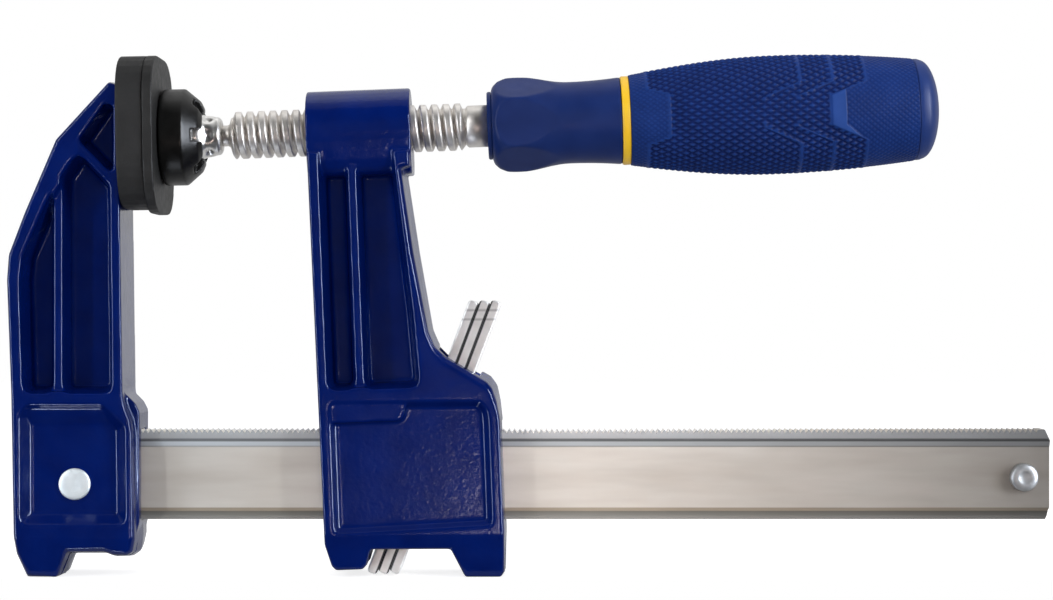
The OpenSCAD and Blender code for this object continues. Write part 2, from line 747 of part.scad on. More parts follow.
// Bright collar on the screw's tip, closed over the tip's head
module swivel_ball() {
    r = ball_d / 2;
    bottom = -54;
    top = 30;
    steps = 10;
    collar = collar_d / 2;
    bore = neck_d / 2 + running_gap;
    seat = tip_head_d / 2 + running_gap;
    ball_points = [for (k = [0 : steps])
        let (a = bottom + (top - bottom) * k / steps)
        [r * cos(a), ball_u + r * sin(a)]];
    color([0.85, 0.85, 0.85])
        screw_frame()
            turned(concat(
                [[0, ball_points[0][1]]],
                ball_points,
                [[collar + 0.35, ball_u + 3.5], [collar, ball_u + 5.2], [collar - 0.3, collar_u1 - 0.7],
                    [collar - 1.4, collar_u1], [bore, collar_u1], [bore, tip_u0 + tip_head_length + running_gap],
                    [seat, tip_u0 + tip_head_length + running_gap], [seat, tip_u0 - running_gap],
                    [0, tip_u0 - running_gap]]));
}

// ---------- swivel pad ----------

snap_ring_thickness = 1;
snap_ring_back = base_u0 - 0.15;
spigot_u0 = snap_ring_back - snap_ring_thickness - 1.8;
groove_d = spigot_d - 1.8;
snap_ring_r = spigot_d / 2 + 1.6;

module pad_socket() {
    r = socket_d / 2;
    cup = ball_d / 2 + running_gap;
    rim = mouth_reach - 0.3;
    mouth = sqrt(cup * cup - rim * rim);
    bottom = -58;
    top = asin(rim / cup);
    steps = 16;
    spigot = spigot_d / 2;
    groove = groove_d / 2;
    groove_u0 = snap_ring_back - snap_ring_thickness - 0.05;
    groove_u1 = snap_ring_back + 0.05;
    cup_points = [for (k = [0 : steps])
        let (a = top + (bottom - top) * k / steps)
        [cup * cos(a), ball_u + cup * sin(a)]];
    notch = 3.2;
    color([0.07, 0.07, 0.07])
        pad_frame()
            difference() {
                turned(concat(
                    [[0, spigot_u0], [spigot - 0.4, spigot_u0], [spigot, spigot_u0 + 0.4], [spigot, groove_u0],
                        [groove, groove_u0], [groove, groove_u1], [spigot, groove_u1], [spigot, socket_u0],
                        [r - 0.5, socket_u0], [r, socket_u0 + 0.5], [r, socket_u0 + 6], [r - 0.4, socket_u0 + 6.5],
                        [r - 3.3, socket_u1 - 0.9], [r - 5.2, socket_u1], [mouth + 0.5, socket_u1]],
                    cup_points,
                    [[0, cup_points[steps][1]]]));
                // Slots between the snap fingers
                for (turn = [0 : 60 : 120])
                    rotate([0, 0, turn + 90])
                        translate([-socket_d, -notch / 2, ball_u + 0.4])
                            cube([2 * socket_d, notch, 10]);
            }
}

module socket_snap_ring() {
    color([0.6, 0.6, 0.6])
        pad_frame()
            tube(snap_ring_back - snap_ring_thickness, snap_ring_back, snap_ring_r, groove_d / 2 + fixed_gap);
}

// A pad shape with large corners, square to the screw, from u0 to u1
module pad_block(u0, u1, height, depth, corner, lift = 0) {
    translate([-pad_rise - lift, 0, u0])
        linear_extrude(u1 - u0)
            polygon(rounded([[-height / 2, -depth / 2], [height / 2, -depth / 2], [height / 2, depth / 2],
                [-height / 2, depth / 2]], corner, 8));
}

module pad_plate() {
    color([0.14, 0.14, 0.14])
        pad_frame()
            difference() {
                pad_block(base_u0, base_u1, pad_height, pad_depth, pad_corner);
                tube(base_u0 - 1, base_u1 + 1, spigot_d / 2 + running_gap, 0);
            }
}

module pad_face() {
    color([0.18, 0.18, 0.18])
        pad_frame()
            difference() {
                pad_block(pad_u0, base_u0, pad_height - bottom_step, pad_depth - 2 * base_step, pad_corner,
                    bottom_step / 2);
                tube(spigot_u0 - 0.6, base_u0 + 1, snap_ring_r + 0.5, 0);
            }
}

// ---------- handle ----------

module handle_washer() {
    color([0.03, 0.05, 0.16])
        screw_frame()
            turned([[shank_d / 2 + fixed_gap, handle_u0], [washer_d / 2 - 0.3, handle_u0],
                [washer_d / 2, handle_u0 + 0.3], [washer_d / 2, handle_u0 + washer_thickness],
                [shank_d / 2 + fixed_gap, handle_u0 + washer_thickness]]);
}

// Handle's core: a full bulb with six flats that falls to a waist, then a tube under the ring and the grip
module handle_core() {
    u0 = handle_u0 + washer_thickness;
    mouth = washer_d / 2 - 0.3;
    bulb = bulb_d / 2;
    waist = waist_d / 2;
    end = ring_d / 2 - 0.2;
    bore = tang_d / 2 + fixed_gap;
    bulb_u = u0 + 6.2;
    waist_u = u0 + 20.4;
    front = [for (t = [0 : 0.25 : 1]) [mouth + (bulb - mouth) * sin(90 * t), bulb_u - (bulb_u - u0) * cos(90 * t)]];
    fall = [for (t = [0.125 : 0.125 : 1])
        [waist + (bulb - waist) * (1 + cos(180 * t)) / 2, bulb_u + (waist_u - bulb_u) * t]];
    rise = [for (t = [0.25 : 0.25 : 1]) [waist + (end - waist) * t * t, waist_u + (front_u1 - waist_u) * t]];
    color([0.05, 0.11, 0.3])
        screw_frame()
            difference() {
                turned(concat(
                    [[bore, u0]], front, fall, rise,
                    [[core_d / 2, front_u1], [core_d / 2, grip_u1 - 0.1], [bore, grip_u1 - 0.1]]));
                // Flats round the bulb
                for (turn = [30 : 60 : 330])
                    rotate([0, 0, turn])
                        translate([flats_d / 2, -bulb_d, u0 - 1])
                            cube([bulb_d, 2 * bulb_d, waist_u - u0]);
                roll_pin_hole();
            }
}

roll_pin_u = handle_u0 + washer_thickness + 12;
roll_pin_top = flats_d / 2 - 0.5;
roll_pin_foot = tang_d / 2 + 2.5;

// Hole for the roll pin, from the flat that faces up and back to a blind end past the screw
module roll_pin_hole() {
    translate([0, 0, roll_pin_u])
        rotate([90, 0, 60])
            translate([0, 0, -bulb_d])
                cylinder(h = bulb_d + roll_pin_foot + fixed_gap, d = roll_pin_d + 2 * fixed_gap);
}

module handle_roll_pin() {
    color([0.6, 0.6, 0.6])
        screw_frame()
            translate([0, 0, roll_pin_u])
                rotate([90, 0, 60])
                    translate([0, 0, -roll_pin_top])
                        difference() {
                            cylinder(h = roll_pin_top + roll_pin_foot, d = roll_pin_d);
                            translate([0, 0, -1])
                                cylinder(h = bulb_d * 2, d = roll_pin_d / 2);
                        }
}

module accent_ring() {
    bore = core_d / 2 + fixed_gap;
    color([0.96, 0.72, 0.1])
        screw_frame()
            turned([[bore, front_u1 + fixed_gap], [ring_d / 2 - 0.2, front_u1 + fixed_gap],
                [ring_d / 2, front_u1 + 0.4], [ring_d / 2, ring_u1 - fixed_gap], [bore, ring_u1 - fixed_gap]]);
}

// Radius of the grip at a share t of its length
function grip_radius(t) =
    let (
        start = ring_d / 2 + 0.4,
        full = grip_d / 2,
        end = full - 2.1,
        swell_end = 0.5
    )
    t < swell_end
        ? start + (full - start) * sin(90 * t / swell_end)
        : full - (full - end) * pow((t - swell_end) / (1 - swell_end), 2);

module handle_grip() {
    bore = core_d / 2 + fixed_gap;
    color([0.05, 0.11, 0.28])
        screw_frame()
            turned(concat(
                [[bore, ring_u1]],
                [for (k = [0 : 20]) [grip_radius(k / 20), ring_u1 + grip_length * k / 20]],
                [[bore, grip_u1]]));
}

module handle_end_cap() {
    r = grip_radius(1) - 0.3;
    plug = tang_d / 2 - 0.5;
    u0 = grip_u1 + fixed_gap;
    rim = 1.6;
    color([0.05, 0.11, 0.28])
        screw_frame()
            turned(concat(
                [[0, u0 - 6], [plug - 0.5, u0 - 6], [plug, u0 - 5.5], [plug, u0], [r, u0], [r, u0 + rim]],
                [for (a = [15 : 15 : 75]) [(r - 0.3) * cos(a), u0 + rim + (cap_length - rim) * sin(a)]],
                [[0, cap_u1]]));
}

bar();
fixed_jaw();
jaw_rivet();
end_stop_pin();
sliding_jaw();
clutch_plate_1();
clutch_plate_2();
clutch_plate_3();
clutch_spring();
spindle();
swivel_ball();
pad_socket();
socket_snap_ring();
pad_plate();
pad_face();
handle_washer();
handle_core();
handle_roll_pin();
accent_ring();
handle_grip();
handle_end_cap();
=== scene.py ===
import json
import math

import bmesh
import bpy
import numpy as np
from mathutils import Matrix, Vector

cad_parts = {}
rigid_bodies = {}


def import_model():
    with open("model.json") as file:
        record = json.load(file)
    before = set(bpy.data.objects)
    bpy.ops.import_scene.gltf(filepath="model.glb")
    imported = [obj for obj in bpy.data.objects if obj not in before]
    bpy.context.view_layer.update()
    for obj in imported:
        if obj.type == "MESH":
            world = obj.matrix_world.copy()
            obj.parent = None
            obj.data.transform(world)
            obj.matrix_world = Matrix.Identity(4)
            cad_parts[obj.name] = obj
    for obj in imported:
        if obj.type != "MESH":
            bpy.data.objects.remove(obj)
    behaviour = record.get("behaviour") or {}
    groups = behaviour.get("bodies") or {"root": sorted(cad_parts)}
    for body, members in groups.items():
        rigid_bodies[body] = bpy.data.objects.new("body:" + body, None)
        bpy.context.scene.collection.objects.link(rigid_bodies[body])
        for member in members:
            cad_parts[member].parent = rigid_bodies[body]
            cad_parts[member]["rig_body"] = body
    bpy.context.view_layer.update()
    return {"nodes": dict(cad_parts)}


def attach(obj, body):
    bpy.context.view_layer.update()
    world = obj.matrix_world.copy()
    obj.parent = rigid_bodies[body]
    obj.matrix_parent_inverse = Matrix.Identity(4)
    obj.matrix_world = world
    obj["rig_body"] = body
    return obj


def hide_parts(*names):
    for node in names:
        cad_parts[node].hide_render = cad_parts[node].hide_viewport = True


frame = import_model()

nodes = frame["nodes"]
MM = 0.001

# The clamp's own frames, in millimetres as in the CAD source: u runs along the screw towards the handle
# from the middle of the sliding jaw's box, and w stands square to it from the bar's centre line.
JAW_LEAN = math.radians(2.2)
SLIDER_X = -30.7313
BAR_MID = 26.25
PLATE_X = SLIDER_X + 2
PLATE_PITCH = 2.78
PLATE_LEAN = math.radians(20.7)
BAR_END_X = 136.1
HEEL_X = -136.1
SCREW_W = 90.6
BALL_U = -54.1
BALL_R = 6.4
COLLAR_R = 5.3
COLLAR_END = -46.6
THREAD_U0, THREAD_U1 = -44.6, 17.3
THREAD_PITCH = 3.03
# Distance between the rows of points that the thread is made of
THREAD_STEP = 0.16
THREAD_R, ROOT_R = 6.2, 4.75
NECK_R = 2.75
SHANK_R = 5.5
TANG_R = 4.5
HANDLE_U0 = 23.1
FRONT_U1 = 58.2
RING_U1 = 60.4
GRIP_U1 = 135.0
CAP_U1 = 141.5
CORE_R = 9.5
RING_R = 11.65
GRIP_R = 15.7
GRIP_START_R = RING_R + 0.4
# Radius that the grip loses from its middle to its rear end
GRIP_FALL = 2.1

# Size of the cells, in millimetres, and rounds of smoothing that round the edges of cast and moulded pieces
CAST_VOXEL, CAST_ROUNDS = 0.35, 7
MOULD_VOXEL = 0.3
# The lips over the castings' feet: the slope of their faces, and the depth from the middle where they begin
LIP_SLOPE, LIP_DEPTH = 0.18, 6
# How far from a plate's middle its sides are found, and how far the sides that face another plate move out
PLATE_SIDE, PLATE_FILL = 0.9, 0.11


# ---------- frames and meshes ----------


def jaw_point(u, y, w):
    """A point of the sliding jaw's frame in world metres; works on numbers and on arrays."""
    c, s = math.cos(JAW_LEAN), math.sin(JAW_LEAN)
    return (
        (SLIDER_X + u * c - w * s) * MM,
        y * MM,
        (BAR_MID + u * s + w * c) * MM,
    )


def screw_point(u, r, angle):
    """A point round the screw's axis; the angle is 0 at the back, 90 degrees at the top, 180 at the front."""
    return jaw_point(u, r * np.cos(angle), SCREW_W + r * np.sin(angle))


def link(name, mesh):
    obj = bpy.data.objects.new(name, mesh)
    bpy.context.scene.collection.objects.link(obj)
    return obj


def stand_in(obj, node, material):
    """obj takes the place of a CAD node, on the body that the node rides on."""
    obj.data.materials.clear()
    obj.data.materials.append(material)
    obj.data.shade_smooth()
    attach(obj, nodes[node]["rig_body"])
    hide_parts(node)
    return obj


def skin(name, rings):
    """A closed mesh through rings of points, an array of (ring, point on the ring, 3)."""
    rows, columns = rings.shape[:2]
    points = [tuple(p) for p in rings.reshape(-1, 3)]
    faces = []
    for i in range(rows - 1):
        for j in range(columns):
            k = (j + 1) % columns
            here, above = i * columns, (i + 1) * columns
            faces.append((here + j, here + k, above + k, above + j))
    faces.append(tuple(range(columns - 1, -1, -1)))
    faces.append(tuple(range((rows - 1) * columns, rows * columns)))
    mesh = bpy.data.meshes.new(name)
    mesh.from_pydata(points, [], faces)
    mesh.update()
    return link(name, mesh)


def turned(name, profile, count=96, shape=None, place=screw_point):
    """A turned piece from (place along the axis, radius) points.

    shape may change a radius by its place and angle."""
    u = np.array([p[0] for p in profile], float)[:, None]
    r = np.array([p[1] for p in profile], float)[:, None]
    angle = np.linspace(0, 2 * math.pi, count, endpoint=False)[None, :]
    u, angle = np.broadcast_arrays(u, angle)
    r = np.broadcast_to(r, u.shape)
    if shape is not None:
        r = shape(u, angle, r)
    return skin(name, np.stack(place(u, r, angle), axis=-1))


def applied(obj):
    """Turns obj's modifiers into its mesh."""
    graph = bpy.context.evaluated_depsgraph_get()
    mesh = bpy.data.meshes.new_from_object(obj.evaluated_get(graph))
    obj.modifiers.clear()
    obj.data = mesh
    return obj


def merged_copy(node, name):
    """A copy of a CAD node's mesh with its doubled vertices merged."""
    mesh = nodes[node].data.copy()
    work = bmesh.new()
    work.from_mesh(mesh)
    bmesh.ops.remove_doubles(work, verts=work.verts, dist=2e-6)
    work.to_mesh(mesh)
    work.free()
    return link(name, mesh)


def softened(node, name, voxel, rounds, bosses=(), ease=0.0):
    """A copy of a CAD node with bosses added, and its edges and inner corners rounded as cast ones are.

    Its faces are set back by ease, so that pieces which turn on each other don't touch."""
    obj = merged_copy(node, name)
    for boss in bosses:
        joined = obj.modifiers.new("boss", "BOOLEAN")
        joined.operation = "UNION"
        joined.solver = "EXACT"
        joined.object = boss
    remesh = obj.modifiers.new("remesh", "REMESH")
    remesh.mode = "VOXEL"
    remesh.voxel_size = voxel * MM
    smooth = obj.modifiers.new("smooth", "SMOOTH")
    smooth.factor = 0.5
    smooth.iterations = rounds
    set_back = obj.modifiers.new("set_back", "DISPLACE")
    set_back.mid_level = 0
    set_back.strength = -ease * MM
    applied(obj)
    for boss in bosses:
        bpy.data.objects.remove(boss)
    return obj


def outward(obj):
    """Turns all of a closed mesh's faces outwards."""
    work = bmesh.new()
    work.from_mesh(obj.data)
    bmesh.ops.recalc_face_normals(work, faces=work.faces)
    work.to_mesh(obj.data)
    work.free()
    return obj


def undercut(obj, edge):
    """Leans a casting's faces inwards below the height edge, as the lips over its feet do."""
    for vertex in obj.data.vertices:
        below = edge * MM - vertex.co.z
        if below > 0 and abs(vertex.co.y) > LIP_DEPTH * MM:
            vertex.co.y -= math.copysign(below * LIP_SLOPE, vertex.co.y)


# ---------- materials ----------


def new_material(name):
    material = bpy.data.materials.new(name)
    material.use_nodes = True
    tree = material.node_tree
    return material, tree, tree.nodes["Principled BSDF"]


def coordinates(tree, stretch=(1, 1, 1)):
    where = tree.nodes.new("ShaderNodeTexCoord")
    mapping = tree.nodes.new("ShaderNodeMapping")
    mapping.inputs["Scale"].default_value = stretch
    tree.links.new(where.outputs["Object"], mapping.inputs["Vector"])
    return mapping.outputs["Vector"]


def noise(tree, vector, size, detail=3.0):
    """Noise with features of the given size in millimetres."""
    node = tree.nodes.new("ShaderNodeTexNoise")
    node.inputs["Scale"].default_value = 1000.0 / size
    node.inputs["Detail"].default_value = detail
    tree.links.new(vector, node.inputs["Vector"])
    return node.outputs["Fac"]


def spread(tree, value, low, high, start=0.3, end=0.7):
    """A value mapped from start..end to low..high."""
    node = tree.nodes.new("ShaderNodeMapRange")
    node.inputs["From Min"].default_value = start
    node.inputs["From Max"].default_value = end
    node.inputs["To Min"].default_value = low
    node.inputs["To Max"].default_value = high
    tree.links.new(value, node.inputs["Value"])
    return node.outputs["Result"]


def blended(tree, value, low, high):
    """A colour that goes from low to high as the value goes from 0.3 to 0.7."""
    ramp = tree.nodes.new("ShaderNodeValToRGB")
    ramp.color_ramp.elements[0].position = 0.3
    ramp.color_ramp.elements[1].position = 0.7
    ramp.color_ramp.elements[0].color = (*low, 1)
    ramp.color_ramp.elements[1].color = (*high, 1)
    tree.links.new(value, ramp.inputs["Fac"])
    return ramp.outputs["Color"]


def bumped(tree, height, depth, under=None):
    """A bump whose height, from 0 to 1, is depth in millimetres."""
    node = tree.nodes.new("ShaderNodeBump")
    node.inputs["Distance"].default_value = depth * MM
    tree.links.new(height, node.inputs["Height"])
    if under is not None:
        tree.links.new(under, node.inputs["Normal"])
    return node.outputs["Normal"]


def finish_of(name, low, high, rough, size, bumps, metal=0.0, stretch=(1, 1, 1), specular=0.5):
    """A material whose colour and roughness drift over the given size, with layers of (size, depth) bump."""
    material, tree, shader = new_material(name)
    vector = coordinates(tree, stretch)
    drift = noise(tree, vector, size)
    tree.links.new(blended(tree, drift, low, high), shader.inputs["Base Color"])
    tree.links.new(spread(tree, noise(tree, vector, size * 0.4), *rough), shader.inputs["Roughness"])
    shader.inputs["Metallic"].default_value = metal
    shader.inputs["Specular IOR Level"].default_value = specular
    normal = None
    for bump_size, depth in bumps:
        normal = bumped(tree, noise(tree, vector, bump_size, 2.0), depth, under=normal)
    if normal is not None:
        tree.links.new(normal, shader.inputs["Normal"])
    return material


def object_axes(tree, place=(0, 0, 0), lean=0.0):
    """X, Y and Z in millimetres from a place on the piece, with the X axis leaning down by an angle."""
    where = tree.nodes.new("ShaderNodeTexCoord")
    mapping = tree.nodes.new("ShaderNodeMapping")
    mapping.vector_type = "TEXTURE"
    mapping.inputs["Location"].default_value = place
    mapping.inputs["Rotation"].default_value = (0, lean, 0)
    mapping.inputs["Scale"].default_value = (MM, MM, MM)
    tree.links.new(where.outputs["Object"], mapping.inputs["Vector"])
    parts = tree.nodes.new("ShaderNodeSeparateXYZ")
    tree.links.new(mapping.outputs["Vector"], parts.inputs[0])
    return [parts.outputs[axis] for axis in "XYZ"]


def math_node(tree, operation, *values):
    """A Math node on sockets or numbers."""
    node = tree.nodes.new("ShaderNodeMath")
    node.operation = operation
    for socket, value in zip(node.inputs, values):
        if isinstance(value, (int, float)):
            socket.default_value = value
        else:
            tree.links.new(value, socket)
    return node.outputs[0]


def greyed(material, start, end, grey):
    """Blends a material's colour into grey where |y| goes from start to end in millimetres."""
    tree = material.node_tree
    shader = tree.nodes["Principled BSDF"]
    y = object_axes(tree)[1]
    mix = tree.nodes.new("ShaderNodeMixRGB")
    tree.links.new(spread(tree, math_node(tree, "ABSOLUTE", y), 0, 1, start, end), mix.inputs["Fac"])
    tree.links.new(shader.inputs["Base Color"].links[0].from_socket, mix.inputs["Color1"])
    mix.inputs["Color2"].default_value = (*grey, 1)
    tree.links.new(mix.outputs["Color"], shader.inputs["Base Color"])


def shaded(material, value, stops):
    """Multiplies a material's colour by a ramp over value, from stops of (value, grey or colour factor)."""
    tree = material.node_tree
    ramp = tree.nodes.new("ShaderNodeValToRGB")
    first, last = stops[0][0], stops[-1][0]
    while len(ramp.color_ramp.elements) < len(stops):
        ramp.color_ramp.elements.new(1.0)
    for element, (at, factor) in zip(ramp.color_ramp.elements, stops):
        element.position = (at - first) / (last - first)
        element.color = (*factor, 1) if isinstance(factor, tuple) else (factor, factor, factor, 1)
    tree.links.new(spread(tree, value, 0, 1, first, last), ramp.inputs["Fac"])
    mix = tree.nodes.new("ShaderNodeMixRGB")
    mix.blend_type = "MULTIPLY"
    mix.inputs["Fac"].default_value = 1.0
    shader = tree.nodes["Principled BSDF"]
    tree.links.new(shader.inputs["Base Color"].links[0].from_socket, mix.inputs["Color1"])
    tree.links.new(ramp.outputs["Color"], mix.inputs["Color2"])
    tree.links.new(mix.outputs["Color"], shader.inputs["Base Color"])


paint = finish_of(
    "jaw_paint", (0.0, 0.0076, 0.103), (0.0, 0.0108, 0.135), (0.14, 0.2), 9,
    [(1.4, 0.052), (0.5, 0.01)], specular=0.36,
)
paint.node_tree.nodes["Principled BSDF"].inputs["Specular Tint"].default_value = (0.7, 0.8, 1, 1)
bar_steel = finish_of(
    "bar_steel", (0.83, 0.76, 0.68), (1.0, 0.94, 0.86), (0.44, 0.52), 6,
    [(0.5, 0.006)], metal=0.48, stretch=(0.15, 1, 1),
)
# Painted shade: the rails and slopes beside the recesses are blended into a dull grey, darker than the
# recesses
greyed(bar_steel, 2.72, 2.95, (0.43, 0.44, 0.45))
plate_steel = finish_of(
    "plate_steel", (0.84, 0.83, 0.81), (0.96, 0.95, 0.93), (0.44, 0.54), 4, [(0.4, 0.006)], metal=1.0,
)
zinc = finish_of("zinc", (0.86, 0.93, 0.95), (0.92, 0.98, 0.99), (0.5, 0.6), 2, [(0.4, 0.008)], metal=0.86)
stop_steel = finish_of(
    "stop_steel", (0.38, 0.39, 0.4), (0.5, 0.51, 0.52), (0.42, 0.5), 2, [(0.5, 0.01)], metal=0.8,
)
spring_steel = finish_of(
    "spring_steel", (0.4, 0.4, 0.4), (0.5, 0.5, 0.5), (0.28, 0.36), 2, [(0.3, 0.004)], metal=1.0,
)
screw_steel = finish_of(
    "screw_steel", (0.72, 0.69, 0.655), (0.84, 0.81, 0.775), (0.42, 0.5), 3, [(0.5, 0.008)], metal=1.0,
)
collar_steel = finish_of(
    "collar_steel", (0.7, 0.69, 0.67), (0.82, 0.81, 0.79), (0.3, 0.38), 3, [(0.8, 0.005)], metal=1.0,
)
hub_plastic = finish_of(
    "hub_plastic", (0.004, 0.004, 0.004), (0.008, 0.008, 0.008), (0.28, 0.38), 4, [(0.5, 0.006)],
    specular=0.28,
)
pad_plastic = finish_of(
    "pad_plastic", (0.011, 0.011, 0.011), (0.017, 0.017, 0.017), (0.5, 0.62), 4, [(0.6, 0.012)],
    specular=0.35,
)
pad_rubber = finish_of(
    "pad_rubber", (0.011, 0.011, 0.0115), (0.017, 0.017, 0.0175), (0.55, 0.7), 5, [(0.7, 0.03), (0.25, 0.01)],
    specular=0.35,
)
front_plastic = finish_of(
    "front_plastic", (0.005, 0.02, 0.12), (0.008, 0.027, 0.15), (0.36, 0.44), 8, [(0.6, 0.006)],
    specular=0.15,
)
cap_plastic = finish_of(
    "cap_plastic", (0.01, 0.035, 0.18), (0.014, 0.045, 0.22), (0.4, 0.48), 8, [(0.6, 0.006)], specular=0.2,
)
ring_plastic = finish_of(
    "ring_plastic", (0.96, 0.55, 0.004), (1.0, 0.62, 0.008), (0.36, 0.46), 5, [(0.6, 0.006)],
)
grip_rubber = finish_of(
    "grip_rubber", (0.009, 0.037, 0.195), (0.012, 0.048, 0.245), (0.42, 0.54), 7, [(0.3, 0.01)],
    specular=0.07,
)

# The valleys of the grip's texture are darker than its crests: painted shade in the valleys, and a painted
# sheen on the raised smooth patch. Depth is measured below grip_radius, which is written out in nodes here
tree = grip_rubber.node_tree
x, y, z = object_axes(tree, jaw_point(0, 0, SCREW_W), -JAW_LEAN)
radius_squared = math_node(tree, "ADD", math_node(tree, "POWER", y, 2), math_node(tree, "POWER", z, 2))
radius = math_node(tree, "SQRT", radius_squared)
grip_middle = (RING_U1 + GRIP_U1) / 2
rise = math_node(tree, "SINE", spread(tree, x, 0, math.pi / 2, RING_U1, grip_middle))
fall = math_node(tree, "POWER", spread(tree, x, 0, 1, grip_middle, GRIP_U1), 2)
envelope = math_node(tree, "ADD", GRIP_START_R, math_node(tree, "MULTIPLY", rise, GRIP_R - GRIP_START_R))
envelope = math_node(tree, "SUBTRACT", envelope, math_node(tree, "MULTIPLY", fall, GRIP_FALL))
shaded(
    grip_rubber, math_node(tree, "SUBTRACT", envelope, radius),
    [(-0.12, (2.6, 1.9, 1.5)), (-0.02, 1.0), (0.12, 1.0), (0.45, (0.4, 0.4, 0.52))],
)

# Painted light along the bar: brightest beside the sliding jaw and duller towards its ends
x, y, z = object_axes(bar_steel.node_tree)
shaded(bar_steel, x, [(-100, (0.68, 0.71, 0.73)), (15, 1.0), (65, 0.7), (136, 0.28)])
# Painted light by height: a painted highlight along the foot of the slope under the teeth, painted shade
# above it, the teeth painted brighter, and painted shade on the slope at the bottom
shaded(
    bar_steel, z,
    [
        (15.0, (1.0, 0.95, 0.86)), (16.6, (0.6, 0.54, 0.46)), (17.3, (0.55, 0.5, 0.42)), (17.6, 1.0),
        (33.55, 1.0), (33.75, 2.1), (34.7, 2.1), (35.0, 0.6), (35.5, 0.65), (35.8, 1.5), (38.5, 1.7),
    ],
)

# Painted shade where a plate's edge faces another plate, as the narrow gaps between the plates are in shade,
# and two darker bands across the plates near their upper ends
tree = plate_steel.node_tree
plates_middle = (PLATE_X * MM, 0, BAR_MID * MM)
across = math_node(tree, "ABSOLUTE", object_axes(tree, plates_middle, PLATE_LEAN)[0])
# The outer plates' outer sides face nothing, so the pattern stops at their middles
across = math_node(tree, "PINGPONG", math_node(tree, "MINIMUM", across, PLATE_PITCH), PLATE_PITCH / 2)
shaded(plate_steel, across, [(0, 1.0), (PLATE_PITCH / 2 - 0.55, 1.0), (PLATE_PITCH / 2 - 0.3, 0.06)])
height = object_axes(tree)[2]
for band_height in (66.8, 69.2):
    shaded(plate_steel, height, [(band_height - 0.5, 1.0), (band_height, 0.6), (band_height + 0.5, 1.0)])


# ---------- castings ----------

# The rivet panel's upper wall is a long slope, from points of [y, z]
slope_section = ((-10.6, 45.2), (-8, 39.2), (-7, 46))
slope_ends = (HEEL_X + 4.6, HEEL_X + 31)
slope = np.array([[(x * MM, y * MM, z * MM) for y, z in slope_section] for x in slope_ends])
slope_boss = outward(skin("boss", slope))
fixed_casting = softened("fixed_jaw", "fixed_jaw_casting", CAST_VOXEL, CAST_ROUNDS, [slope_boss])
undercut(fixed_casting, 10)
stand_in(fixed_casting, "fixed_jaw", paint)


def rounded_prism(name, outline, y0, y1, round_by, steps=6):
    """A prism through y0..y1 with rounded corners, from points of the sliding jaw's frame."""
    points = []
    n = len(outline)
    for i in range(n):
        here = Vector(outline[i])
        back = (Vector(outline[i - 1]) - here).normalized()
        ahead = (Vector(outline[(i + 1) % n]) - here).normalized()
        for k in range(steps + 1):
            t = k / steps
            before, after = here + back * round_by, here + ahead * round_by
            points.append((1 - t) ** 2 * before + 2 * t * (1 - t) * here + t * t * after)
    rings = np.array([[jaw_point(p[0], y, p[1]) for p in points] for y in (y0, y1)])
    return outward(skin(name, rings))


# A raised strip in the upper left corner of the panel
strip = rounded_prism("boss", [(-20.6, 14.4), (-1.6, 14.4), (0, 21), (-20.6, 21)], -11.1, -8, 1.6)
slider_casting = softened("sliding_jaw", "sliding_jaw_casting", CAST_VOXEL, CAST_ROUNDS, [strip])
undercut(slider_casting, 11.2)
stand_in(slider_casting, "sliding_jaw", paint)


# ---------- screw and swivel ----------


def thread_radius(u, angle, r):
    """The thread's radius at a place and angle: rounded crests on a right-hand helix."""
    phase = ((u - THREAD_U0) / THREAD_PITCH - angle / (2 * math.pi)) % 1.0
    wave = 0.5 + 0.5 * np.cos(2 * math.pi * (phase - 0.5))
    wave = np.clip(wave * 1.5, 0, 1)
    wave = wave * (2 - wave)
    start = np.clip((u - THREAD_U0) / 1.5, 0, 1)
    lead_in = np.clip(start * 1.6 - 0.3, 0, 1) * np.clip((THREAD_U1 - u) / 1.2, 0, 1)
    root = ROOT_R - (ROOT_R - NECK_R - 0.3) * (1 - np.clip(start * 1.9, 0, 1)) ** 2
    threaded = root + (THREAD_R - ROOT_R) * wave * lead_in
    return np.where((u > THREAD_U0) & (u < THREAD_U1), threaded, r)


# Places along the axis and radii, from the tip inside the collar to the tang inside the handle
thread_length = THREAD_U1 - THREAD_U0
thread_rows = int(thread_length / THREAD_STEP)
spindle_profile = (
    [(BALL_U - 3.2, 0.01), (BALL_U - 3.2, 3.05), (BALL_U - 2.8, 3.45), (BALL_U - 0.2, 3.45)]
    + [(BALL_U - 0.2, NECK_R), (THREAD_U0 - 0.6, NECK_R), (THREAD_U0 - 0.2, NECK_R + 0.2)]
    + [(THREAD_U0 + thread_length * (k + 0.5) / thread_rows, ROOT_R) for k in range(thread_rows)]
    + [(THREAD_U1, ROOT_R), (THREAD_U1 + 0.35, SHANK_R - 0.3), (THREAD_U1 + 0.7, SHANK_R)]
    + [(HANDLE_U0 + 1, SHANK_R), (HANDLE_U0 + 1, TANG_R), (HANDLE_U0 + 61, TANG_R)]
    + [(HANDLE_U0 + 62, TANG_R - 1), (HANDLE_U0 + 62, 0.01)]
)
spindle = turned("threaded_spindle", spindle_profile, 96, thread_radius)
stand_in(spindle, "spindle", screw_steel)


def crimped(u, angle, r):
    """Dents that the crimping tool leaves round the collar's waist, and petals on both sides of them."""
    dent = (0.5 + 0.5 * np.cos(angle * 6)) ** 1.4
    waist = np.exp(-(((u - BALL_U - 3.9) / 1.25) ** 2))
    rim = np.exp(-(((u - COLLAR_END + 1.4) / 0.9) ** 2))
    return r - np.where(r > 4, 1.15 * waist * dent + 0.25 * rim * (1 - dent), 0)


